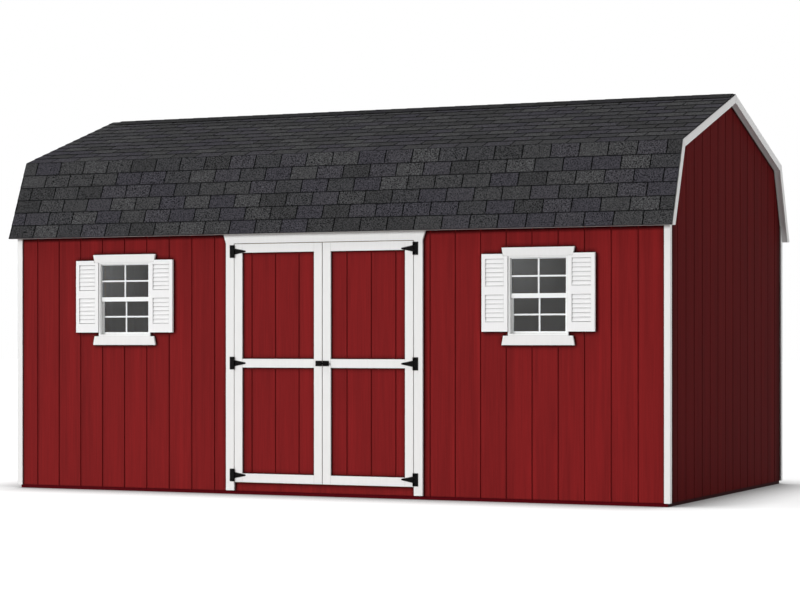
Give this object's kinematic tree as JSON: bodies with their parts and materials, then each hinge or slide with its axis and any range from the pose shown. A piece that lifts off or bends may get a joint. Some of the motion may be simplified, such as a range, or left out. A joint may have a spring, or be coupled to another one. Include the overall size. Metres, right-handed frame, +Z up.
{
  "type": "barn shed",
  "caption": "Timber barn shed with a gambrel shingle roof, grooved siding, outward double doors on tee hinges with a slide latch, and shuttered windows beside the doors.",
  "frame": {"origin": "centre of the footprint on the ground", "axes": "+X along the ridge, to the right seen from the front; the front wall with the doors faces -Y; +Z up"},
  "size_m": [5.59, 3.2136, 3.0966],
  "materials": {
    "siding_red": "barn red latex paint on grooved panel siding",
    "rim_red": "barn red paint on the floor frame's rim",
    "trim_white": "white latex paint on primed trim boards",
    "framing": "planed spruce framing lumber",
    "sheathing": "raw plywood",
    "shingle": "charcoal mineral granules on asphalt shingles",
    "hardware": "black powder-coated steel",
    "window_white": "white vinyl",
    "shutter_white": "white moulded vinyl",
    "glass": "clear float glass over a dark room"
  },
  "bodies": {
    "shed": {"floor_rim": "rim_red", "floor_joists": "framing", "floor_deck": "sheathing", "sole_plates": "framing", "wall_studs": "framing", "wall_headers": "framing", "top_plates": "framing", "lower_rafters": "framing", "upper_rafters": "framing", "rafter_gussets": "sheathing", "roof_deck": "sheathing", "shingles": "shingle", "ridge_cap": "shingle", "eave_boards": "trim_white", "rake_nailers": "trim_white", "rake_boards": "trim_white", "front_siding_left": "siding_red", "front_siding_right": "siding_red", "front_siding_over_door": "siding_red", "door_sill_board": "siding_red", "back_siding": "siding_red", "left_gable_siding": "siding_red", "right_gable_siding": "siding_red", "long_wall_corner_boards": "trim_white", "end_wall_corner_boards": "trim_white", "door_casings": "trim_white", "door_header": "trim_white", "hinge_plates": "hardware", "window_frames": "window_white", "window_sashes": "window_white", "window_glass": "glass", "window_trim": "trim_white", "shutters": "shutter_white"},
    "left_door": {"left_door_panel": "siding_red", "left_door_boards": "trim_white", "left_door_backing": "framing", "left_hinge_straps": "hardware", "latch_keeper": "hardware"},
    "right_door": {"right_door_panel": "siding_red", "right_door_boards": "trim_white", "right_door_backing": "framing", "right_hinge_straps": "hardware", "latch_barrel": "hardware"},
    "latch_bolt": {"latch_bolt": "hardware"}
  },
  "joints": [
    {"name": "left_door_hinge", "type": "hinge", "parent": "shed", "child": "left_door", "pos_m": [-0.7595, -1.5485, 1.015], "axis": [0, 0, -1], "range_deg": [0, 170]},
    {"name": "right_door_hinge", "type": "hinge", "parent": "shed", "child": "right_door", "pos_m": [0.7595, -1.5485, 1.015], "axis": [0, 0, 1], "range_deg": [0, 170]},
    {"name": "latch_bolt_slide", "type": "slide", "parent": "right_door", "child": "latch_bolt", "axis": [-1, 0, 0], "range_m": [0, 0.022]}
  ]
}
